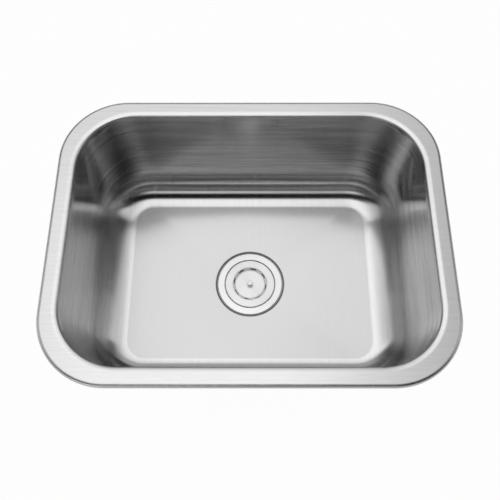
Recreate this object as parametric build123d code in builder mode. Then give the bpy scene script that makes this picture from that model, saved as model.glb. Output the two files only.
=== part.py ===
"""Undermount kitchen sink: a drawn stainless bowl with a rolled rim, its sound-deadening pads, and
a basket strainer with the nuts, washers and tailpiece that carry the waste away.

Millimetres. +Z is up, +X runs to the right along the sink and +Y away from the user. The origin is
the middle of the rim's flat top face, which is bedded against the underside of the worktop.
"""

from build123d import *
import os

os.makedirs("parts", exist_ok=True)

# ---------------------------------------------------------------- driving dimensions

# Drawn bowl
sheet = 1.2  # 18 gauge stainless steel
rim_length = 584.2
rim_width = 448.5
rim_corner = 101.0
rim_roll = 5.0  # outer edge of the rim, rolled downwards
rim_lip = 2.0  # straight lip below the roll
rim_flange = 27.5  # from the rim's outer edge to the line of the wall
bowl_corner = 88.5
mouth_roll = 9.0  # roll from the flat rim into the wall
wall_draft = 3.9  # degrees from upright
wall_depth = 211.0  # down to the outer edge of the floor
bottom_radius = 47.5  # between wall and floor
floor_fall = 5.5  # from the floor's edge down to the drain
drain_forward = 6.0  # drain centre in front of the rim's centre
drain_land = 2.0  # level ring between the sloping floor and the seat
land_corner_gap = 1.0  # the land's corners are this much sharper than round
seat_clearance = 2.9  # round the strainer's flange, at the top of its pressed seat
seat_depth = 2.4
seat_draft = 30.0  # degrees from upright
seat_bend = 1.5
drain_hole_clearance = 0.6  # round the well of the strainer body

# Sound-deadening pads, glued to the outside
pad_thickness = 3.0
pad_corner = 12.0
pad_top = 42.0  # below the rim
wall_pad_height = 104.0
long_pad_length = 300.0
short_pad_length = 190.0
floor_pad_length = 330.0
floor_pad_width = 216.0
floor_pad_clearance = 20.0  # round the washers and the locknut

# Strainer body, pressed from sheet, with a threaded wall and a threaded neck
strainer_sheet = 1.2
strainer_bend = 0.4  # inside radius of its bends
flange_radius = 57.15
flange_lift = 0.3  # from the seat up to the flange's turned-down edge
gasket_thickness = 1.0
gasket_inset = 1.5  # from the gasket's outside to the flange's turned-down edge
gasket_width = 7.0
well_radius = 44.2  # well that takes the basket's lip
well_depth = 3.0
cup_radius = 41.6
cup_depth = 38.0  # flange top to the start of the cone
cone_depth = 10.0
neck_radius = 22.7
neck_length = 18.0

# Washers and nut that clamp the strainer body to the bowl
washer_width = 11.0
washer_thickness = 3.0
friction_width = 9.5
friction_thickness = 1.0
locknut_wall = 9.0
locknut_height = 9.0
locknut_lugs = 6
locknut_lug_reach = 6.0
locknut_lug_width = 12.0
lug_corner = 2.5
thread_gap = 0.1
nut_edge = 1.2  # chamfer

# Outlet
tailpiece_radius = 19.05  # 1-1/2 in tube
tailpiece_wall = 1.1
tailpiece_length = 101.6
tailpiece_bend = 0.5
outlet_washer_thickness = 2.5
coupling_flats = 56.0
coupling_sides = 8
coupling_grip = 12.0  # length of the neck inside the coupling nut
coupling_lip = 2.5
coupling_clearance = 0.4  # the lip's bore past the tailpiece's bend
tube_gap = 0.2

# Basket: lip, slotted recess and dish pressed in one plate
basket_sheet = 0.8
basket_bend = 0.4
basket_gap = 0.6  # round the lip, in the strainer body's well
rest_gap = 0.3  # under the lip, the stopper and the catch
recess_radius = 30.5
dish_radius = 25.6
recess_depth = 4.0
basket_slots = 8
slot_phase = 33.0  # degrees
slot_length = 11.0
slot_height = 2.4

# Knob and post
stub_radius = 2.0
stub_length = 5.0
fit_gap = 0.1
knob_head = 4.5
knob_waist = 2.9
knob_foot = 4.0
knob_height = 7.5
knob_edge = 0.8
collar_radius = 6.0
collar_height = 1.5
post_radius = 3.0
post_end_radius = 2.5

# Stopper under the basket
stopper_radius = 29.0
stopper_edge = 2.0  # height of its upright edge
stopper_overhang = 1.0  # the stopper's underside is this much wider than the neck
backing_radius = 24.0
backing_thickness = 1.0
retainer_flats = 9.0
retainer_height = 3.5
retainer_sides = 6

# Catch on the post's end, which snaps into the hub of the crossbar
turning_gap = 0.2
catch_head = 6.4
catch_head_height = 2.0
catch_tail = 2.5  # stands out below the hub
catch_slits = 4
catch_slit_width = 0.8
clip_radius = 4.0
clip_thickness = 0.7
clip_groove = 0.6  # depth of the groove that holds the clip
clip_opening = 3.0
post_tip = 1.2  # below the clip

# Crossbar fixed in the neck
hub_radius = 8.0
hub_height = 5.0
hub_bore = 4.6
hub_gap = 0.3  # between the catch and the hub
crossbar_arms = 4
crossbar_width = 4.5
crossbar_thickness = 2.4
weld_gap = 0.1

# ---------------------------------------------------------------- levels and axes

bowl_length = rim_length - 2 * rim_flange
bowl_width = rim_width - 2 * rim_flange
drain_depth = wall_depth + floor_fall
seat_radius = flange_radius + seat_clearance
land_radius = seat_radius + drain_land
seat_top = -(drain_depth + seat_depth)
seat_underside = seat_top - sheet

flange_top = seat_top + gasket_thickness + strainer_sheet
well_floor = flange_top - well_depth
cone_top = flange_top - cup_depth
cone_bottom = cone_top - cone_depth
cone_slope = cone_depth / (cup_radius - neck_radius)
neck_bottom = cone_bottom - neck_length
well_outer = well_radius + strainer_sheet
cup_outer = cup_radius + strainer_sheet
neck_outer = neck_radius + strainer_sheet
drain_hole = well_outer + drain_hole_clearance

washer_top = seat_underside
friction_top = washer_top - washer_thickness
locknut_top = friction_top - friction_thickness
locknut_outer = cup_outer + locknut_wall

tailpiece_top = neck_bottom - outlet_washer_thickness
tailpiece_bore = tailpiece_radius - tailpiece_wall
tailpiece_flange = neck_outer - tube_gap
coupling_top = neck_bottom + coupling_grip
coupling_shelf = tailpiece_top - tailpiece_wall
coupling_bottom = coupling_shelf - coupling_lip

dish_top = flange_top - recess_depth
dish_underside = dish_top - basket_sheet
collar_bottom = dish_underside - collar_height
stopper_low = cone_bottom + cone_slope * stopper_overhang + rest_gap
stopper_side = cone_bottom + cone_slope * (stopper_radius - neck_radius) + rest_gap
stopper_top = stopper_side + stopper_edge
backing_top = stopper_top + backing_thickness
retainer_bottom = stopper_low - retainer_height
catch_top = retainer_bottom - turning_gap
catch_shoulder = catch_top - catch_head_height
hub_top = catch_shoulder - rest_gap
catch_bottom = hub_top - hub_height - catch_tail
clip_top = catch_bottom - turning_gap
clip_bottom = clip_top - clip_thickness
post_bottom = clip_bottom - post_tip

drain_centre = (0, -drain_forward, 0)
drain_axis = Axis(drain_centre, (0, 0, 1))
# Section through the drain: across the plane is the radius, up the plane is Z.
drain_section = Plane(origin=drain_centre, x_dir=(1, 0, 0), z_dir=(0, -1, 0))


def level(height):
    """A horizontal plane on the drain's axis."""
    return Plane(origin=(0, -drain_forward, height))


def turned(points, edge=None):
    """A solid turned about the drain's axis, from half its section, with its outer edges rounded."""
    with BuildPart() as solid:
        with BuildSketch(drain_section) as section:
            with BuildLine():
                Polyline(*points, close=True)
            make_face()
            if edge:
                outer = section.vertices().group_by(Axis.X)[-1]
                fillet(outer, edge)
        revolve(axis=drain_axis)
    return solid.part


def pressed(points, thickness, bend):
    """A round pressing, from a line along its upper face that runs inwards from its outer edge."""
    bends = []
    for before, corner, after in zip(points, points[1:], points[2:]):
        run = (corner[0] - before[0], corner[1] - before[1])
        turn = run[0] * (after[1] - corner[1]) - run[1] * (after[0] - corner[0])
        bends.append(bend + thickness if turn > 0 else bend)
    with BuildPart() as solid:
        with BuildSketch(drain_section):
            with BuildLine():
                face_line = FilletPolyline(*points, radius=bends)
                offset(face_line, amount=thickness, side=Side.LEFT)
            make_face()
        revolve(axis=drain_axis)
    return solid.part


def ring(inner, outer, top, thickness):
    """A flat ring on the drain's axis."""
    with BuildPart() as solid:
        with BuildSketch(level(top - thickness)):
            Circle(outer)
            Circle(inner, mode=Mode.SUBTRACT)
        extrude(amount=thickness)
    return solid.part


def bowl_form(growth):
    """The hollow of the bowl, or its outside when grown by the sheet's thickness."""
    with BuildPart() as form:
        with BuildSketch():
            RectangleRounded(bowl_length + 2 * growth, bowl_width + 2 * growth, bowl_corner + growth)
        extrude(amount=-(wall_depth + growth), taper=wall_draft)
        fillet(form.faces().sort_by(Axis.Z)[0].edges(), bottom_radius + growth)
        floor_edge = form.faces().sort_by(Axis.Z)[0]
        with BuildSketch(level(-(drain_depth + growth))) as land:
            RectangleRounded(2 * land_radius, 2 * land_radius, land_radius - land_corner_gap)
        loft([floor_edge, land.sketch.face()], ruled=True)
    return form.part


def seat_form(growth):
    """The strainer's seat in the floor, or its outside when grown by the sheet's thickness."""
    with BuildPart() as form:
        with BuildSketch(level(-wall_depth)):
            Circle(seat_radius + growth)
        extrude(amount=-(floor_fall + growth))
        with BuildSketch(level(-(drain_depth + growth))):
            Circle(seat_radius + growth)
        extrude(amount=-seat_depth, taper=seat_draft)
        fillet(form.edges().sort_by(Axis.Z)[0], seat_bend + growth)
    return form.part


def finish(part, name):
    """Labels a finished piece and writes it."""
    part.label = name
    export_step(part, f"parts/{name}.step")


# ---------------------------------------------------------------- drawn bowl

bowl_inside = bowl_form(0)
bowl_outside = bowl_form(sheet)

# Hollow under the rim, between the rolled lip and the outside of the wall
with BuildPart() as under_rim:
    with BuildSketch(Plane.XY.offset(-sheet)):
        RectangleRounded(rim_length - 2 * sheet, rim_width - 2 * sheet, rim_corner - sheet)
    extrude(amount=-(rim_roll + rim_lip + mouth_roll))
    fillet(under_rim.edges().group_by(Axis.Z)[-1], rim_roll - sheet)
    add(bowl_outside, mode=Mode.SUBTRACT)
    fillet(under_rim.faces().sort_by(Axis.Z)[-1].inner_wires()[0].edges(), mouth_roll - sheet)

with BuildPart() as sink_bowl:
    with BuildSketch():
        RectangleRounded(rim_length, rim_width, rim_corner)
    extrude(amount=-(rim_roll + rim_lip))
    fillet(sink_bowl.edges().group_by(Axis.Z)[-1], rim_roll)
    # Stock for the roll from the rim into the wall, which may reach below the lip
    with BuildSketch():
        RectangleRounded(bowl_length + 2 * mouth_roll, bowl_width + 2 * mouth_roll, bowl_corner + mouth_roll)
    extrude(amount=-mouth_roll)
    add(bowl_outside)
    add(seat_form(sheet))
    add(bowl_inside, mode=Mode.SUBTRACT)
    add(seat_form(0), mode=Mode.SUBTRACT)
    fillet(sink_bowl.faces().sort_by(Axis.Z)[-1].inner_wires()[0].edges(), mouth_roll)
    add(under_rim.part, mode=Mode.SUBTRACT)
    with BuildSketch(level(seat_top)):
        Circle(drain_hole)
    extrude(amount=-2 * sheet, mode=Mode.SUBTRACT)
finish(sink_bowl.part, "sink_bowl")

# ---------------------------------------------------------------- sound-deadening pads

pad_outside = bowl_form(sheet + pad_thickness)
wall_pads = [
    ("front_pad", Plane.front, long_pad_length),
    ("back_pad", Plane.back, long_pad_length),
    ("left_pad", Plane.left, short_pad_length),
    ("right_pad", Plane.right, short_pad_length),
]
for pad_name, facing, pad_length in wall_pads:
    with BuildPart() as wall_pad:
        add(pad_outside)
        add(bowl_outside, mode=Mode.SUBTRACT)
        with BuildSketch(facing):
            with Locations((0, -(pad_top + wall_pad_height / 2))):
                RectangleRounded(pad_length, wall_pad_height, pad_corner)
        extrude(amount=rim_length, mode=Mode.INTERSECT)
    finish(wall_pad.part, pad_name)

with BuildPart() as bottom_pad:
    add(pad_outside)
    add(bowl_outside, mode=Mode.SUBTRACT)
    with BuildSketch(Plane.XY.offset(-wall_depth / 2)):
        RectangleRounded(floor_pad_length, floor_pad_width, pad_corner)
        with Locations((0, -drain_forward)):
            Circle(locknut_outer + locknut_lug_reach + floor_pad_clearance, mode=Mode.SUBTRACT)
    extrude(amount=-wall_depth, mode=Mode.INTERSECT)
finish(bottom_pad.part, "bottom_pad")

# ---------------------------------------------------------------- strainer body

strainer_line = [
    (flange_radius, seat_top + flange_lift),
    (flange_radius, flange_top),
    (well_radius, flange_top),
    (well_radius, well_floor),
    (cup_radius, well_floor),
    (cup_radius, cone_top),
    (neck_radius, cone_bottom),
    (neck_radius, neck_bottom),
]
strainer_body = pressed(strainer_line, strainer_sheet, strainer_bend)
finish(strainer_body, "strainer_body")

gasket_outer = flange_radius - strainer_sheet - gasket_inset
flange_gasket = ring(gasket_outer - gasket_width, gasket_outer, seat_top + gasket_thickness, gasket_thickness)
finish(flange_gasket, "flange_gasket")

# ---------------------------------------------------------------- washers and locknut under the bowl

sink_washer = ring(drain_hole, drain_hole + washer_width, washer_top, washer_thickness)
finish(sink_washer, "sink_washer")

friction_ring = ring(drain_hole, drain_hole + friction_width, friction_top, friction_thickness)
finish(friction_ring, "friction_ring")

with BuildPart() as locknut:
    with BuildSketch(level(locknut_top - locknut_height)):
        Circle(locknut_outer)
        with PolarLocations(locknut_outer, locknut_lugs):
            RectangleRounded(2 * locknut_lug_reach, locknut_lug_width, lug_corner)
        Circle(cup_outer + thread_gap, mode=Mode.SUBTRACT)
    extrude(amount=locknut_height)
    lower_edge = locknut.faces().sort_by(Axis.Z)[0].outer_wire().edges()
    chamfer(lower_edge, nut_edge)
finish(locknut.part, "locknut")

# ---------------------------------------------------------------- crossbar in the neck

with BuildPart() as crossbar:
    with BuildSketch(level(hub_top - hub_height)):
        Circle(hub_radius)
    extrude(amount=hub_height)
    with BuildSketch(level(hub_top - crossbar_thickness)) as arms:
        with PolarLocations(0, crossbar_arms):
            Rectangle(neck_radius, crossbar_width, align=(Align.MIN, Align.CENTER))
        Circle(neck_radius - weld_gap, mode=Mode.INTERSECT)
    extrude(amount=crossbar_thickness)
    with BuildSketch(level(hub_top)):
        Circle(hub_bore)
    extrude(amount=-hub_height, mode=Mode.SUBTRACT)
finish(crossbar.part, "crossbar")

# ---------------------------------------------------------------- outlet: washer, tailpiece, coupling nut

outlet_washer = ring(tailpiece_bore, tailpiece_flange, neck_bottom, outlet_washer_thickness)
finish(outlet_washer, "outlet_washer")

tailpiece_line = [
    (tailpiece_flange, tailpiece_top),
    (tailpiece_bore, tailpiece_top),
    (tailpiece_bore, tailpiece_top - tailpiece_length),
]
tailpiece = pressed(tailpiece_line, tailpiece_wall, tailpiece_bend)
finish(tailpiece, "tailpiece")

with BuildPart() as coupling_nut:
    with BuildSketch(level(coupling_bottom)):
        RegularPolygon(coupling_flats / 2, coupling_sides, major_radius=False)
        Circle(tailpiece_radius + tailpiece_bend + coupling_clearance, mode=Mode.SUBTRACT)
    extrude(amount=coupling_top - coupling_bottom)
    chamfer(coupling_nut.faces().sort_by(Axis.Z)[0].outer_wire().edges(), nut_edge)
    chamfer(coupling_nut.faces().sort_by(Axis.Z)[-1].outer_wire().edges(), nut_edge)
    with BuildSketch(level(coupling_top)):
        Circle(neck_outer + thread_gap)
    extrude(amount=coupling_shelf - coupling_top, mode=Mode.SUBTRACT)
finish(coupling_nut.part, "coupling_nut")

# ---------------------------------------------------------------- basket plate

basket_line = [
    (well_radius - basket_gap, well_floor + rest_gap),
    (well_radius - basket_gap, flange_top),
    (recess_radius, flange_top),
    (dish_radius, dish_top),
    (stub_radius + fit_gap, dish_top),
]
recess_run = recess_radius - dish_radius
slot_centre = ((recess_radius + dish_radius) / 2, 0, flange_top - recess_depth / 2)

# One slot, square to the recess's sloping wall
with BuildPart() as slot:
    with BuildSketch(Plane(origin=slot_centre, x_dir=(0, 1, 0), z_dir=(recess_depth, 0, -recess_run))):
        SlotOverall(slot_length, slot_height)
    extrude(amount=2 * basket_sheet, both=True)

with BuildPart() as basket_plate:
    add(pressed(basket_line, basket_sheet, basket_bend))
    with Locations(drain_centre):
        with PolarLocations(0, basket_slots, start_angle=slot_phase):
            add(slot.part, mode=Mode.SUBTRACT)
finish(basket_plate.part, "basket_plate")

# ---------------------------------------------------------------- knob and post

stub_top = dish_top + stub_length
knob_top = dish_top + knob_height
waist_low = dish_top + knob_height / 4
waist_high = dish_top + knob_height / 2
knob_points = [
    (0, knob_top),
    (knob_head, knob_top),
    (knob_head, waist_high + knob_edge),
    (knob_waist, waist_high),
    (knob_waist, waist_low),
    (knob_foot, dish_top),
    (stub_radius + fit_gap, dish_top),
    (stub_radius + fit_gap, stub_top + fit_gap),
    (0, stub_top + fit_gap),
]
finish(turned(knob_points, knob_edge), "basket_knob")

groove_radius = post_end_radius - clip_groove
post_points = [
    (0, stub_top),
    (stub_radius, stub_top),
    (stub_radius, dish_underside),
    (collar_radius, dish_underside),
    (collar_radius, collar_bottom),
    (post_radius, collar_bottom),
    (post_radius, backing_top),
    (post_end_radius, backing_top),
    (post_end_radius, clip_top),
    (groove_radius, clip_top),
    (groove_radius, clip_bottom),
    (post_end_radius, clip_bottom),
    (post_end_radius, post_bottom),
    (0, post_bottom),
]
finish(turned(post_points), "basket_post")

# ---------------------------------------------------------------- stopper, backing plate and retaining nut

backing_points = [
    (post_end_radius + fit_gap, stopper_top),
    (backing_radius, stopper_top),
    (backing_radius, backing_top),
    (post_end_radius + fit_gap, backing_top),
]
finish(turned(backing_points), "backing_plate")

stopper_points = [
    (post_end_radius + fit_gap, stopper_top),
    (stopper_radius, stopper_top),
    (stopper_radius, stopper_side),
    (neck_radius + stopper_overhang, stopper_low),
    (post_end_radius + fit_gap, stopper_low),
]
finish(turned(stopper_points), "rubber_stopper")

with BuildPart() as retaining_nut:
    with BuildSketch(level(retainer_bottom)):
        RegularPolygon(retainer_flats / 2, retainer_sides, major_radius=False)
        Circle(post_end_radius + fit_gap, mode=Mode.SUBTRACT)
    extrude(amount=retainer_height)
finish(retaining_nut.part, "retaining_nut")

# ---------------------------------------------------------------- catch and its clip

catch_radius = hub_bore - hub_gap
with BuildPart() as catch:
    with BuildSketch(level(catch_shoulder)):
        Circle(catch_head)
    extrude(amount=catch_head_height)
    with BuildSketch(level(catch_bottom)):
        Circle(catch_radius)
    extrude(amount=catch_shoulder - catch_bottom)
    with BuildSketch(level(catch_bottom)):
        with PolarLocations(0, catch_slits):
            Rectangle(catch_head, catch_slit_width, align=(Align.MIN, Align.CENTER))
    extrude(amount=hub_height, mode=Mode.SUBTRACT)
    with BuildSketch(level(catch_bottom)):
        Circle(post_end_radius + fit_gap)
    extrude(amount=catch_top - catch_bottom, mode=Mode.SUBTRACT)
finish(catch.part, "catch_sleeve")

with BuildPart() as clip:
    with BuildSketch(level(clip_bottom)):
        Circle(clip_radius)
        Circle(groove_radius, mode=Mode.SUBTRACT)
        Rectangle(clip_radius, clip_opening, align=(Align.MIN, Align.CENTER), mode=Mode.SUBTRACT)
    extrude(amount=clip_thickness)
finish(clip.part, "catch_clip")
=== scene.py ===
"""Looks of the undermount kitchen sink: drawn and brushed bowl, sound-deadening pads, basket
strainer, washers, nuts and tailpiece. Metres, +Z up, +X along the sink, +Y away from the user.
The rim's flat face lies at Z = 0.
"""

import math

import bpy
from mathutils import Matrix, Vector


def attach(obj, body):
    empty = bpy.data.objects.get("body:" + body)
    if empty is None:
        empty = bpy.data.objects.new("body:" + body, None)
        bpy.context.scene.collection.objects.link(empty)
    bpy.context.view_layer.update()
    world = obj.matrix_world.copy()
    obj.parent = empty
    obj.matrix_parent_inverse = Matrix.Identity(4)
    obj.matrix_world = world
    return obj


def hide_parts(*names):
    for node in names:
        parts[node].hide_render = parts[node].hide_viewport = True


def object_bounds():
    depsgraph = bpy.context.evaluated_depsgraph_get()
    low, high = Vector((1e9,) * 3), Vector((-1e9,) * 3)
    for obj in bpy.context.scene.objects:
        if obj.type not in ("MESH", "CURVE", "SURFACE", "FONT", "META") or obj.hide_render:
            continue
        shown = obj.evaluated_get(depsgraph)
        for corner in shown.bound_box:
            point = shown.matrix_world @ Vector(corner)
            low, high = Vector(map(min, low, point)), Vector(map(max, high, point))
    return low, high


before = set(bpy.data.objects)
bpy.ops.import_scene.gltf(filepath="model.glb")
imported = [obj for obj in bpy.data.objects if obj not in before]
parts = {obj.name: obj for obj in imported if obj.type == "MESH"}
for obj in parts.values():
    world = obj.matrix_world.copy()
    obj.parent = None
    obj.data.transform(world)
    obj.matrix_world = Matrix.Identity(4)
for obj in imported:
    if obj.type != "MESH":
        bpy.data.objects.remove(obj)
cad_low, cad_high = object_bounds()

# ---------------------------------------------------------------- drawn bowl
# The bowl is one sheet of stainless steel, drawn in a press, with its rim rolled over and cut to a
# short lip. The floor is brushed from back to front and the walls are brushed level, while the
# outside keeps its mill finish.

sheet = 0.0012
rim_half_length = 0.2921
rim_half_width = 0.22425
rim_corner = 0.101
rim_roll = 0.0056
lip_bottom = -0.007
rim_flange = 0.0275
bowl_corner = 0.0885
mouth_roll = 0.003
mouth_ease = 0.02
ease_slope = math.radians(20)
wall_draft = math.radians(3.9)
wall_depth = 0.211
bottom_radius = 0.0475
floor_fall = 0.0055
drain_forward = 0.006
land_radius = 0.06205
seat_radius = 0.06005
seat_depth = 0.0024
seat_draft = math.radians(30)
seat_bend = 0.0015
drain_hole = 0.046
seat_middle = 0.052
seat_lip = ((-0.0002, 0.00035), (0.0, 0.00005), (0.0003, 0.0))
crease = 0.0004
lip_crease = 0.00015

corner_steps = 24
long_steps = 40
short_steps = 28
seat_steps = 6
bend_steps = 36
wall_steps = 14
roll_steps = 9
wall_start = 0.01
floor_shares = (0, 0.006, 0.03, 0.1, 0.2, 0.32, 0.45, 0.58, 0.7, 0.82, 0.92, 0.975, 0.996)
rim_shares = (0.03, 0.25, 0.5, 0.75, 0.97, 1)


def outline(half_length, half_width, corner, z):
    """One level line round the bowl: a rounded rectangle as a closed list of points."""
    centres = [(1, 1), (-1, 1), (-1, -1), (1, -1)]
    points = []
    for turn, steps in enumerate((long_steps, short_steps, long_steps, short_steps)):
        for step in range(corner_steps + 1):
            angle = math.radians(90 * (turn + step / corner_steps))
            x = centres[turn][0] * (half_length - corner) + corner * math.cos(angle)
            y = centres[turn][1] * (half_width - corner) + corner * math.sin(angle)
            points.append((x, y, z))
        after = centres[(turn + 1) % 4]
        end_x = after[0] * (half_length - corner) + corner * math.cos(angle)
        end_y = after[1] * (half_width - corner) + corner * math.sin(angle)
        for step in range(1, steps):
            share = step / steps
            points.append((x + (end_x - x) * share, y + (end_y - y) * share, z))
    return points


bowl_half_length = rim_half_length - rim_flange
bowl_half_width = rim_half_width - rim_flange


def round_the_bowl(reach, z):
    """A level line whose long half is reach, offset evenly from the line of the wall at the rim."""
    inwards = bowl_half_length - reach
    return outline(reach, bowl_half_width - inwards, bowl_corner - inwards, z)


def round_the_rim(reach, z):
    """A level line offset evenly from the rim's outer edge."""
    inwards = rim_half_length - reach
    return outline(reach, rim_half_width - inwards, rim_corner - inwards, z)


arc_reach = bowl_half_length - (wall_depth - bottom_radius) * math.tan(wall_draft)
floor_reach = arc_reach - bottom_radius / math.cos(wall_draft)
floor_slope = math.radians(4)
drain_angles = [math.atan2(y + drain_forward, x) for x, y, z in round_the_bowl(floor_reach, 0.0)]


def round_the_drain(radius, z):
    """A circle about the drain, whose points lie towards the points of the floor's edge."""
    return [(radius * math.cos(a), radius * math.sin(a) - drain_forward, z) for a in drain_angles]


def blend_lines(first, last, share):
    return [tuple(a + (b - a) * share for a, b in zip(p, q)) for p, q in zip(first, last)]


def mouth_centres():
    """Where the mouth's tight roll and its long ease into the flat rim have their centres."""
    tight_level = (mouth_ease - mouth_roll) * math.cos(ease_slope) - mouth_ease
    tight_reach = bowl_half_length + tight_level * math.tan(wall_draft)
    tight_reach += mouth_roll / math.cos(wall_draft)
    return tight_reach, tight_level, tight_reach + (mouth_ease - mouth_roll) * math.sin(ease_slope)


def bowl_face(growth):
    """The level lines up one face of the sheet, from drain hole to rim, with where each lies."""
    floor_z = -wall_depth - growth
    land_z = floor_z - floor_fall
    flat_z = land_z - seat_depth
    lines = []

    seat_foot = seat_radius + growth - seat_depth * math.tan(seat_draft)
    seat_turn = math.pi / 2 - seat_draft
    bend = seat_bend + growth
    flat_end = seat_foot - bend * math.tan(seat_turn / 2)
    for radius in (drain_hole, drain_hole + crease, seat_middle, flat_end - crease):
        lines.append((round_the_drain(radius, flat_z), "seat"))
    for step in range(seat_steps + 1):
        angle = seat_turn * step / seat_steps
        z = flat_z + bend * (1 - math.cos(angle))
        lines.append((round_the_drain(flat_end + bend * math.sin(angle), z), "seat"))
    for outwards, down in seat_lip:
        lines.append((round_the_drain(seat_radius + growth + outwards, land_z - down), "seat"))

    bend_radius = bottom_radius + growth
    arc_centre = arc_reach + growth - bend_radius / math.cos(wall_draft)
    arc_level = bottom_radius - wall_depth
    land = round_the_drain(land_radius, land_z)
    floor_edge = round_the_bowl(
        arc_centre + bend_radius * math.sin(floor_slope),
        arc_level - bend_radius * math.cos(floor_slope),
    )
    for share in floor_shares:
        lines.append((blend_lines(land, floor_edge, share), "floor"))

    arc_end = math.pi / 2 - wall_draft
    for step in range(bend_steps + 1):
        angle = floor_slope + (arc_end - floor_slope) * step / bend_steps
        z = arc_level - bend_radius * math.cos(angle)
        lines.append((round_the_bowl(arc_centre + bend_radius * math.sin(angle), z), "bend"))

    tight_reach, tight_level, ease_reach = mouth_centres()
    wall_low = z
    wall_high = tight_level + (mouth_roll - growth) * math.sin(wall_draft)
    for step in range(wall_steps):
        share = wall_start if step == 0 else step / wall_steps
        z = wall_low + (wall_high - wall_low) * share
        reach = bowl_half_length + growth + z * math.tan(wall_draft)
        lines.append((round_the_bowl(reach, z), "wall"))
    ease_start = math.pi / 2 - ease_slope
    for centre, level, roll, first, last, start in (
        (tight_reach, tight_level, mouth_roll - growth, wall_draft, ease_start, 0),
        (ease_reach, -mouth_ease, mouth_ease - growth, ease_start, math.pi / 2, 1),
    ):
        for step in range(start, roll_steps + 1):
            angle = first + (last - first) * step / roll_steps
            reach = centre - roll * math.cos(angle)
            lines.append((round_the_bowl(reach, level + roll * math.sin(angle)), "rim"))
    return lines


def rim_face(growth):
    """The level lines over the rim's flat and down its roll, from the mouth outwards."""
    flat = rim_half_length - rim_roll
    mouth = round_the_bowl(mouth_centres()[2], -growth)
    outer = round_the_rim(flat, -growth)
    lines = []
    for share in rim_shares:
        lines.append((blend_lines(mouth, outer, share), "rim"))
    roll = rim_roll - growth
    for step in range(1, roll_steps + 1):
        angle = math.pi / 2 * step / roll_steps
        z = roll * math.cos(angle) - rim_roll
        lines.append((round_the_rim(flat + roll * math.sin(angle), z), "rim"))
    for z in (lip_bottom + lip_crease, lip_bottom):
        lines.append((round_the_rim(flat + roll, z), "rim"))
    return lines


inside = bowl_face(0.0) + rim_face(0.0)
outside = bowl_face(sheet) + rim_face(sheet)
stations = [(line, zone, 0.0) for line, zone in inside]
stations += [(line, zone, 1.0) for line, zone in reversed(outside)]

round_count = len(stations[0][0])
bowl_points = []
bowl_zones = {"seat": [], "floor": [], "bend": [], "wall": [], "rim": [], "back": []}
for line, zone, behind in stations:
    bowl_points += line
    for name in ("seat", "floor", "bend", "wall", "rim"):
        bowl_zones[name] += [float(zone == name)] * round_count
    bowl_zones["back"] += [behind] * round_count
bowl_faces = []
for row in range(len(stations)):
    this_row = row * round_count
    next_row = (row + 1) % len(stations) * round_count
    for k in range(round_count):
        after = (k + 1) % round_count
        bowl_faces.append((this_row + k, this_row + after, next_row + after, next_row + k))


def new_piece(name, points, faces):
    """A smooth shaded piece from its points and faces."""
    mesh = bpy.data.meshes.new(name)
    mesh.from_pydata(points, [], faces)
    mesh.validate()
    mesh.polygons.foreach_set("use_smooth", [True] * len(mesh.polygons))
    piece = bpy.data.objects.new(name, mesh)
    bpy.context.scene.collection.objects.link(piece)
    return piece


def mark_points(piece, name, values):
    piece.data.attributes.new(name, "FLOAT", "POINT").data.foreach_set("value", values)


bowl = new_piece("brushed_bowl", bowl_points, bowl_faces)
for name, values in bowl_zones.items():
    mark_points(bowl, name, values)


def add_node(tree, kind, **settings):
    node = tree.nodes.new(kind)
    for name, value in settings.items():
        setattr(node, name, value)
    return node


def join(tree, source, target):
    tree.links.new(source, target)


def new_group(name, inputs, outputs):
    """An empty shader node group with its sockets, and its input and output nodes."""
    group = bpy.data.node_groups.new(name, "ShaderNodeTree")
    for label, kind, value in inputs:
        socket = group.interface.new_socket(label, in_out="INPUT", socket_type=kind)
        socket.default_value = value
    for label, kind in outputs:
        group.interface.new_socket(label, in_out="OUTPUT", socket_type=kind)
    return group, add_node(group, "NodeGroupInput"), add_node(group, "NodeGroupOutput")


def use_group(tree, group, **values):
    node = add_node(tree, "ShaderNodeGroup", node_tree=group)
    for label, value in values.items():
        node.inputs[label.replace("_", " ")].default_value = value
    return node


def maths(tree, operation, *values):
    """A Math node, each of whose inputs is a socket or a number."""
    node = add_node(tree, "ShaderNodeMath", operation=operation)
    for socket, value in zip(node.inputs, values):
        if isinstance(value, (int, float)):
            socket.default_value = value
        else:
            join(tree, value, socket)
    return node.outputs[0]


def mix_values(tree, mask, first, second, kind="FLOAT"):
    """A Mix node between two sockets or values, by a mask."""
    node = add_node(tree, "ShaderNodeMix", data_type=kind)
    slots = {"FLOAT": (2, 3, 0), "VECTOR": (4, 5, 1), "RGBA": (6, 7, 2)}[kind]
    join(tree, mask, node.inputs[0])
    for slot, value in zip(slots, (first, second)):
        if isinstance(value, (int, float, tuple)):
            node.inputs[slot].default_value = value
        else:
            join(tree, value, node.inputs[slot])
    return node.outputs[slots[2]]


def by_mark(tree, value, *marked, kind="FLOAT"):
    """A value that gives way to another wherever a mark says, the later marks over the earlier."""
    for mark, other in marked:
        value = mix_values(tree, mark, value, other, kind)
    return value


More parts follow.
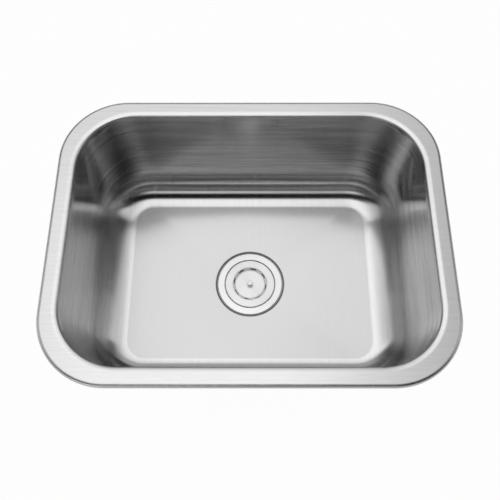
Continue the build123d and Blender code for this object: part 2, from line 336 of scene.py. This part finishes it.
# Brushed grain: short fine hairlines and longer soft streaks, drawn out along one direction.
brushed_grain, grain_in, grain_out = new_group(
    "brushed grain",
    [("Stretch", "NodeSocketVector", (400.0, 8.0, 8.0)), ("Streaks", "NodeSocketFloat", 0.35)],
    [("Tone", "NodeSocketFloat"), ("Height", "NodeSocketFloat")],
)
grain_place = add_node(brushed_grain, "ShaderNodeTexCoord")
grain_stretch = add_node(brushed_grain, "ShaderNodeVectorMath", operation="MULTIPLY")
join(brushed_grain, grain_place.outputs["Object"], grain_stretch.inputs[0])
join(brushed_grain, grain_in.outputs["Stretch"], grain_stretch.inputs[1])
grain_hair = add_node(brushed_grain, "ShaderNodeTexNoise")
grain_hair.inputs["Scale"].default_value = 4.0
grain_hair.inputs["Detail"].default_value = 3.0
grain_streak = add_node(brushed_grain, "ShaderNodeTexNoise")
grain_streak.inputs["Scale"].default_value = 0.55
grain_streak.inputs["Detail"].default_value = 2.0
for texture in (grain_hair, grain_streak):
    join(brushed_grain, grain_stretch.outputs[0], texture.inputs["Vector"])
grain_tone = mix_values(
    brushed_grain,
    grain_in.outputs["Streaks"],
    grain_hair.outputs["Fac"],
    grain_streak.outputs["Fac"],
)
join(brushed_grain, grain_tone, grain_out.inputs["Tone"])
join(brushed_grain, grain_hair.outputs["Fac"], grain_out.inputs["Height"])


def new_material(name, **settings):
    """A material with one Principled shader, whose constants are set on its own sockets."""
    material = bpy.data.materials.new(name)
    material.use_nodes = True
    tree = material.node_tree
    tree.nodes.clear()
    shader = add_node(tree, "ShaderNodeBsdfPrincipled")
    for label, value in settings.items():
        shader.inputs[label.replace("_", " ")].default_value = value
    surface = add_node(tree, "ShaderNodeOutputMaterial")
    join(tree, shader.outputs[0], surface.inputs["Surface"])
    return material, tree, shader


def add_bump(tree, shader, height, distance):
    bump = add_node(tree, "ShaderNodeBump")
    bump.inputs["Distance"].default_value = distance
    join(tree, height, bump.inputs["Height"])
    join(tree, bump.outputs[0], shader.inputs["Normal"])


def read_mark(tree, name):
    return add_node(tree, "ShaderNodeAttribute", attribute_name=name).outputs["Fac"]


# Tone is the steel's plain grey, contrast is how far the grain changes it, and polish is its
# roughness before the grain adds to it. The seat's darker grey is painted shade in its groove.
floor_tone = 0.47
bend_tone = 0.5
wall_tone = 0.3
rim_tone = 0.44
# Painted shade: the seat's steel is painted a darker grey, standing in for the shade in the groove
# under the flange.
seat_painted_shade_tone = 0.25
mill_tone = 0.38
floor_contrast = 0.12
wall_contrast = 0.75
other_contrast = 0.25
mill_contrast = 0.35
floor_polish = 0.19
bend_polish = 0.19
wall_polish = 0.12
rim_polish = 0.16
grain_polish = 0.12
mill_polish = 0.3
mill_grain_polish = 0.1
grain_depth = 0.000005
across_floor = (1.0, 0.0, 0.0)
across_wall = (0.0, 0.0, 1.0)
across_rim = (0.0, 1.0, 0.0)

drawn_steel, tree, shader = new_material("drawn steel", Metallic=1.0, Anisotropic=0.96)
floor_grain = use_group(tree, brushed_grain, Stretch=(420.0, 7.0, 7.0), Streaks=0.4)
wall_grain = use_group(tree, brushed_grain, Stretch=(12.0, 12.0, 560.0), Streaks=0.7)
rim_grain = use_group(tree, brushed_grain, Stretch=(9.0, 420.0, 420.0), Streaks=0.35)
on_seat, on_floor, on_bend, on_wall, on_rim, on_back = (
    read_mark(tree, name) for name in ("seat", "floor", "bend", "wall", "rim", "back")
)
tone, height = (
    by_mark(
        tree,
        floor_grain.outputs[label],
        (on_wall, wall_grain.outputs[label]),
        (on_rim, rim_grain.outputs[label]),
    )
    for label in ("Tone", "Height")
)

polish = by_mark(
    tree, floor_polish, (on_bend, bend_polish), (on_wall, wall_polish), (on_rim, rim_polish)
)
polished = maths(tree, "MULTIPLY_ADD", tone, grain_polish, polish)
dull = maths(tree, "MULTIPLY_ADD", tone, mill_grain_polish, mill_polish)
join(tree, by_mark(tree, polished, (on_back, dull)), shader.inputs["Roughness"])

contrast = by_mark(tree, other_contrast, (on_floor, floor_contrast), (on_wall, wall_contrast))
plain = by_mark(tree, bend_tone, (on_rim, rim_tone), (on_floor, floor_tone), (on_wall, wall_tone))
brushed = maths(tree, "MULTIPLY_ADD", tone, contrast, plain)
mill = maths(tree, "MULTIPLY_ADD", tone, mill_contrast, mill_tone)
# The seat takes its darker grey here, which is painted shade.
brightness = by_mark(tree, brushed, (on_seat, seat_painted_shade_tone), (on_back, mill))
grey = add_node(tree, "ShaderNodeCombineColor")
for channel in grey.inputs:
    join(tree, brightness, channel)
join(tree, grey.outputs[0], shader.inputs["Base Color"])

across = by_mark(tree, across_floor, (on_wall, across_wall), (on_rim, across_rim), kind="VECTOR")
join(tree, across, shader.inputs["Tangent"])
add_bump(tree, shader, height, grain_depth)

bowl.data.materials.append(drawn_steel)
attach(bowl, "root")
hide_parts("sink_bowl")

# ---------------------------------------------------------------- sound-deadening pads
# Five sheets of black rubber are glued to the outside of the walls and floor, where they stop the
# steel ringing. They are die cut from rolled stock with a pebbled face.

# Mottle: soft cloudy patches between two colours, for dust, bloom, strands and cast skin.
mottle, mottle_in, mottle_out = new_group(
    "mottle",
    [
        ("Scale", "NodeSocketFloat", 100.0),
        ("Detail", "NodeSocketFloat", 2.0),
        ("Dark", "NodeSocketColor", (0.1, 0.1, 0.1, 1.0)),
        ("Light", "NodeSocketColor", (0.5, 0.5, 0.5, 1.0)),
    ],
    [("Colour", "NodeSocketColor"), ("Height", "NodeSocketFloat")],
)
mottle_place = add_node(mottle, "ShaderNodeTexCoord")
mottle_noise = add_node(mottle, "ShaderNodeTexNoise")
join(mottle, mottle_place.outputs["Object"], mottle_noise.inputs["Vector"])
for label in ("Scale", "Detail"):
    join(mottle, mottle_in.outputs[label], mottle_noise.inputs[label])
mottle_colour = mix_values(
    mottle,
    mottle_noise.outputs["Fac"],
    mottle_in.outputs["Dark"],
    mottle_in.outputs["Light"],
    "RGBA",
)
join(mottle, mottle_colour, mottle_out.inputs["Colour"])
join(mottle, mottle_noise.outputs["Fac"], mottle_out.inputs["Height"])


def add_mottle(tree, shader, **values):
    """Colours a shader with the mottle and gives back the mottle's height."""
    patches = use_group(tree, mottle, **values)
    join(tree, patches.outputs["Colour"], shader.inputs["Base Color"])
    return patches.outputs["Height"]


def dress(material, *names):
    """Gives the CAD's own pieces their material."""
    for name in names:
        parts[name].material_slots[0].material = material


pebble_height = 0.0004
pad_rubber, tree, shader = new_material("pad rubber", Roughness=0.7, Specular_IOR_Level=0.35)
place = add_node(tree, "ShaderNodeTexCoord")
pebbles = add_node(tree, "ShaderNodeTexVoronoi", feature="SMOOTH_F1")
pebbles.inputs["Scale"].default_value = 420.0
join(tree, place.outputs["Object"], pebbles.inputs["Vector"])
dusty = {"Dark": (0.012, 0.012, 0.013, 1.0), "Light": (0.045, 0.045, 0.047, 1.0)}
add_mottle(tree, shader, Scale=26.0, Detail=5.0, **dusty)
add_bump(tree, shader, pebbles.outputs["Distance"], pebble_height)
dress(pad_rubber, "front_pad", "back_pad", "left_pad", "right_pad", "bottom_pad")

# ---------------------------------------------------------------- strainer body
# The strainer body is pressed from stainless sheet and its flange is turned bright in circles.
# The locknut goes on its wall below the bowl, and the coupling nut goes on its neck.

# Turned grain: fine rings about the drain, with the radius that each point lies at.
turned_grain, turned_in, turned_out = new_group(
    "turned grain",
    [("Lines", "NodeSocketFloat", 2600.0)],
    [("Tone", "NodeSocketFloat"), ("Radius", "NodeSocketFloat")],
)
turned_place = add_node(turned_grain, "ShaderNodeTexCoord")
turned_flat = add_node(turned_grain, "ShaderNodeVectorMath", operation="MULTIPLY_ADD")
join(turned_grain, turned_place.outputs["Object"], turned_flat.inputs[0])
turned_flat.inputs[1].default_value = (1.0, 1.0, 0.0)
turned_flat.inputs[2].default_value = (0.0, drain_forward, 0.0)
turned_radius = add_node(turned_grain, "ShaderNodeVectorMath", operation="LENGTH")
join(turned_grain, turned_flat.outputs[0], turned_radius.inputs[0])
turned_split = add_node(turned_grain, "ShaderNodeSeparateXYZ")
join(turned_grain, turned_place.outputs["Object"], turned_split.inputs[0])
turned_line = add_node(turned_grain, "ShaderNodeCombineXYZ")
join(turned_grain, turned_radius.outputs["Value"], turned_line.inputs[0])
join(turned_grain, turned_split.outputs["Z"], turned_line.inputs[1])
turned_noise = add_node(turned_grain, "ShaderNodeTexNoise")
turned_noise.inputs["Detail"].default_value = 2.0
join(turned_grain, turned_line.outputs[0], turned_noise.inputs["Vector"])
join(turned_grain, turned_in.outputs["Lines"], turned_noise.inputs["Scale"])
join(turned_grain, turned_noise.outputs["Fac"], turned_out.inputs["Tone"])
join(turned_grain, turned_radius.outputs["Value"], turned_out.inputs["Radius"])


ring_light = 1.14
ring_dark = 0.86
ring_polish = 0.12
ring_depth = 0.00001
satin_roughness = 0.6
# Painted light: the satin ring's colour is lighter than the turned steel, standing in for light on
# its slope.
satin_painted_light_colour = (0.86, 0.86, 0.87, 1.0)


def turned_steel(name, colour, roughness, lines, satin_from=1.0, satin_to=1.0):
    """Steel turned in circles about the drain, but left satin between two radii, where its colour
    is also painted lighter, as painted light.
    """
    material, tree, shader = new_material(
        name, Metallic=1.0, Anisotropic=0.85, Anisotropic_Rotation=0.25
    )
    grain = use_group(tree, turned_grain, Lines=lines)
    tone = grain.outputs["Tone"]
    past = maths(tree, "GREATER_THAN", grain.outputs["Radius"], satin_from)
    within = maths(tree, "LESS_THAN", grain.outputs["Radius"], satin_to)
    satin_and_painted_light = maths(tree, "MULTIPLY", past, within)
    turned_rough = maths(tree, "MULTIPLY_ADD", tone, ring_polish, roughness)
    rough = mix_values(tree, satin_and_painted_light, turned_rough, satin_roughness)
    join(tree, rough, shader.inputs["Roughness"])
    light = tuple(c * ring_light for c in colour) + (1.0,)
    dark = tuple(c * ring_dark for c in colour) + (1.0,)
    turned = mix_values(tree, tone, dark, light, "RGBA")
    # The satin ring is rougher, and it is also painted lighter, as painted light.
    shade = mix_values(tree, satin_and_painted_light, turned, satin_painted_light_colour, "RGBA")
    join(tree, shade, shader.inputs["Base Color"])
    round_it = add_node(tree, "ShaderNodeTangent", direction_type="RADIAL", axis="Z")
    join(tree, round_it.outputs[0], shader.inputs["Tangent"])
    add_bump(tree, shader, tone, ring_depth)
    return material


bright_steel = turned_steel("turned strainer steel", (0.67, 0.67, 0.675), 0.25, 2600.0)
dress(bright_steel, "strainer_body")

# ---------------------------------------------------------------- gasket, washers and locknut
# A rubber gasket seals the flange from above, and a rubber washer and a fibre ring lie below the
# floor. The cast locknut pulls the strainer down and is turned by its six lugs.

bloom_height = 0.00008
seal_rubber, tree, shader = new_material("seal rubber", Roughness=0.55, Specular_IOR_Level=0.4)
black = {"Dark": (0.01, 0.01, 0.011, 1.0), "Light": (0.03, 0.03, 0.032, 1.0)}
add_bump(tree, shader, add_mottle(tree, shader, Scale=140.0, **black), bloom_height)
dress(seal_rubber, "flange_gasket", "sink_washer", "rubber_stopper")

strand_height = 0.0001
pressed_fibre, tree, shader = new_material("pressed fibre", Roughness=0.85)
brown = {"Dark": (0.36, 0.22, 0.1, 1.0), "Light": (0.62, 0.45, 0.28, 1.0)}
strands = add_mottle(tree, shader, Scale=480.0, Detail=4.0, **brown)
add_bump(tree, shader, strands, strand_height)
dress(pressed_fibre, "friction_ring")

casting_height = 0.00012
casting_roughness = 0.35
casting_patches = 0.25
cast_metal, tree, shader = new_material("cast nut metal", Metallic=0.85)
zinc = {"Dark": (0.3, 0.31, 0.32, 1.0), "Light": (0.5, 0.51, 0.53, 1.0)}
casting = add_mottle(tree, shader, Scale=320.0, Detail=6.0, **zinc)
rough = maths(tree, "MULTIPLY_ADD", casting, casting_patches, casting_roughness)
join(tree, rough, shader.inputs["Roughness"])
add_bump(tree, shader, casting, casting_height)
dress(cast_metal, "locknut")

# ---------------------------------------------------------------- crossbar and outlet
# A steel crossbar is welded in the neck. Under the neck, a polythene washer seals the flange of the
# tailpiece, and a plated brass coupling nut holds both. The basket's hidden pieces and the catch
# share these finishes.

hidden_steel = turned_steel("plain steel", (0.6, 0.6, 0.61), 0.26, 1600.0)
dress(hidden_steel, "crossbar", "basket_post", "backing_plate", "retaining_nut", "catch_clip")

polythene, tree, shader = new_material("milky polythene", Roughness=0.45, Subsurface_Weight=0.1)
milky = {"Dark": (0.74, 0.74, 0.7, 1.0), "Light": (0.86, 0.86, 0.83, 1.0)}
add_mottle(tree, shader, Scale=90.0, **milky)
dress(polythene, "outlet_washer", "catch_sleeve")

plated_brass = turned_steel("plated brass", (0.78, 0.78, 0.8), 0.06, 900.0)
dress(plated_brass, "tailpiece", "coupling_nut")

# ---------------------------------------------------------------- basket
# The basket's plate is pressed and slotted, then turned bright like the flange, with a small turned
# knob. A satin ring is left on the slope of its recess, and its colour there is painted lighter, as
# painted light.

satin_inner = 0.025
satin_outer = 0.031
basket_steel = turned_steel(
    "turned basket steel", (0.69, 0.69, 0.695), 0.3, 2600.0, satin_inner, satin_outer
)
dress(basket_steel, "basket_plate", "basket_knob")

# ---------------------------------------------------------------- floor and light
# A plain pale floor lies under the tailpiece, and can't be seen from below. Soft lights stand round
# a dark studio, and the brushed steel shows them, but the camera sees white in their place.

floor_size = 30.0
floor_seen_by_steel = 0.45
floor_seen_by_camera = 0.97
floor_corners = ((-1, -1), (1, -1), (1, 1), (-1, 1))
floor = new_piece(
    "floor",
    [(x * floor_size, y * floor_size, cad_low.z) for x, y in floor_corners],
    [(0, 1, 2, 3)],
)
floor_white, tree, shader = new_material(
    "floor white", Base_Color=(0.8, 0.8, 0.8, 1.0), Roughness=0.8
)
path = add_node(tree, "ShaderNodeLightPath")
below = add_node(tree, "ShaderNodeNewGeometry")
lit = add_node(tree, "ShaderNodeEmission")
lit.inputs["Strength"].default_value = 1.0
direct = maths(tree, "MULTIPLY", path.outputs["Is Camera Ray"], floor_seen_by_camera)
seen = maths(tree, "MAXIMUM", path.outputs["Is Glossy Ray"], path.outputs["Is Transmission Ray"])
seen = maths(tree, "MULTIPLY_ADD", seen, floor_seen_by_steel, direct)
white = add_node(tree, "ShaderNodeMixShader")
join(tree, seen, white.inputs[0])
join(tree, shader.outputs[0], white.inputs[1])
join(tree, lit.outputs[0], white.inputs[2])
clear = add_node(tree, "ShaderNodeBsdfTransparent")
one_sided = add_node(tree, "ShaderNodeMixShader")
join(tree, below.outputs["Backfacing"], one_sided.inputs[0])
join(tree, white.outputs[0], one_sided.inputs[1])
join(tree, clear.outputs[0], one_sided.inputs[2])
surface = next(n for n in tree.nodes if n.type == "OUTPUT_MATERIAL")
join(tree, one_sided.outputs[0], surface.inputs["Surface"])
floor.data.materials.append(floor_white)

world = bpy.data.worlds.new("studio")
bpy.context.scene.world = world
world.use_nodes = True
tree = world.node_tree
tree.nodes.clear()
place = add_node(tree, "ShaderNodeTexCoord")
split = add_node(tree, "ShaderNodeSeparateXYZ")
join(tree, place.outputs["Generated"], split.inputs[0])
towards_front = maths(tree, "MULTIPLY", split.outputs["Y"], -1.0)
turn = maths(tree, "ARCTAN2", split.outputs["Z"], towards_front)
turn = maths(tree, "MULTIPLY", turn, 180 / math.pi)


def soft_edge(tree, place, middle, width):
    """Rises smoothly from 0 to 1 across an edge."""
    node = add_node(tree, "ShaderNodeMapRange", interpolation_type="SMOOTHSTEP")
    join(tree, place, node.inputs["Value"])
    node.inputs["From Min"].default_value = middle - width / 2
    node.inputs["From Max"].default_value = middle + width / 2
    return node.outputs[0]


turn_edge = 10
far_aside = 2


def soft_box(turns, sides, side_edge, level):
    """One soft light. Its turns are degrees up from the horizon in front, over the top and down
    behind, and its sides go from -1 at the left to 1 at the right."""
    lit = level
    for place, (first, last), width in (
        (turn, turns, turn_edge),
        (split.outputs["X"], sides, side_edge),
    ):
        rise, fall = (soft_edge(tree, place, middle, width) for middle in (first, last))
        lit = maths(tree, "MULTIPLY", maths(tree, "SUBTRACT", rise, fall), lit)
    return lit


# The floor of the bowl mirrors the overhead box, and its walls and bends mirror the others.
overhead = soft_box((70, 120), (-0.5, 0.3), 0.6, 1.7)
back_window = soft_box((120, 130), (-far_aside, 0.4), 0.6, 1.4)
right_wall = soft_box((80, 120), (0.5, far_aside), 0.6, 1)
left_wall = soft_box((60, 120), (-far_aside, -0.6), 0.4, 0.7)
low_back = soft_box((130, 150), (-0.4, 0.5), 0.4, 0.6)
front_strip = soft_box((35, 45), (-0.3, 0.1), 0.6, 1.8)
low_front = soft_box((0, 20), (-0.7, -0.3), 0.6, 1.6)
lights = [overhead, back_window, right_wall, left_wall, low_back, front_strip, low_front]

# A low fill reaches a little above the horizon, where the outside of the sink mirrors it.
fill_level = 0.6
fill_top = 0.2
fill_edge = 0.14
above_fill = soft_edge(tree, split.outputs["Z"], fill_top, fill_edge)
together = maths(tree, "MULTIPLY", maths(tree, "SUBTRACT", 1.0, above_fill), fill_level)
for light in lights:
    together = maths(tree, "ADD", together, light)
studio = add_node(tree, "ShaderNodeBackground")
join(tree, together, studio.inputs["Color"])
backdrop = add_node(tree, "ShaderNodeBackground")
backdrop.inputs["Color"].default_value = (1.0, 1.0, 1.0, 1.0)
path = add_node(tree, "ShaderNodeLightPath")
by_camera, by_way_through = (path.outputs[ray] for ray in ("Is Camera Ray", "Is Transmission Ray"))
clear_view = maths(tree, "MAXIMUM", by_camera, by_way_through)
chosen = add_node(tree, "ShaderNodeMixShader")
join(tree, clear_view, chosen.inputs[0])
join(tree, studio.outputs[0], chosen.inputs[1])
join(tree, backdrop.outputs[0], chosen.inputs[2])
surface = add_node(tree, "ShaderNodeOutputWorld")
join(tree, chosen.outputs[0], surface.inputs["Surface"])

# ---------------------------------------------------------------- camera
# The camera stands in front of the sink and looks steeply down into it.

camera_data = bpy.data.cameras.new("camera")
camera_data.sensor_width = 36.0
camera_data.lens = 43.02
camera = bpy.data.objects.new("camera", camera_data)
bpy.context.scene.collection.objects.link(camera)
camera_place = (0.00314, -0.35436, 0.78676)
look_down = math.radians(67.65)
look_aside = math.radians(-0.44)
lean = math.radians(-0.40)
ahead = Vector((
    math.sin(look_aside) * math.cos(look_down),
    math.cos(look_aside) * math.cos(look_down),
    -math.sin(look_down),
))
level_right = Vector((math.cos(look_aside), -math.sin(look_aside), 0.0))
level_up = level_right.cross(ahead)
right = level_right * math.cos(lean) + level_up * math.sin(lean)
up = level_up * math.cos(lean) - level_right * math.sin(lean)
camera.matrix_world = Matrix((
    (right.x, up.x, -ahead.x, camera_place[0]),
    (right.y, up.y, -ahead.y, camera_place[1]),
    (right.z, up.z, -ahead.z, camera_place[2]),
    (0.0, 0.0, 0.0, 1.0),
))
bpy.context.scene.camera = camera
bpy.context.scene.view_settings.view_transform = "Standard"
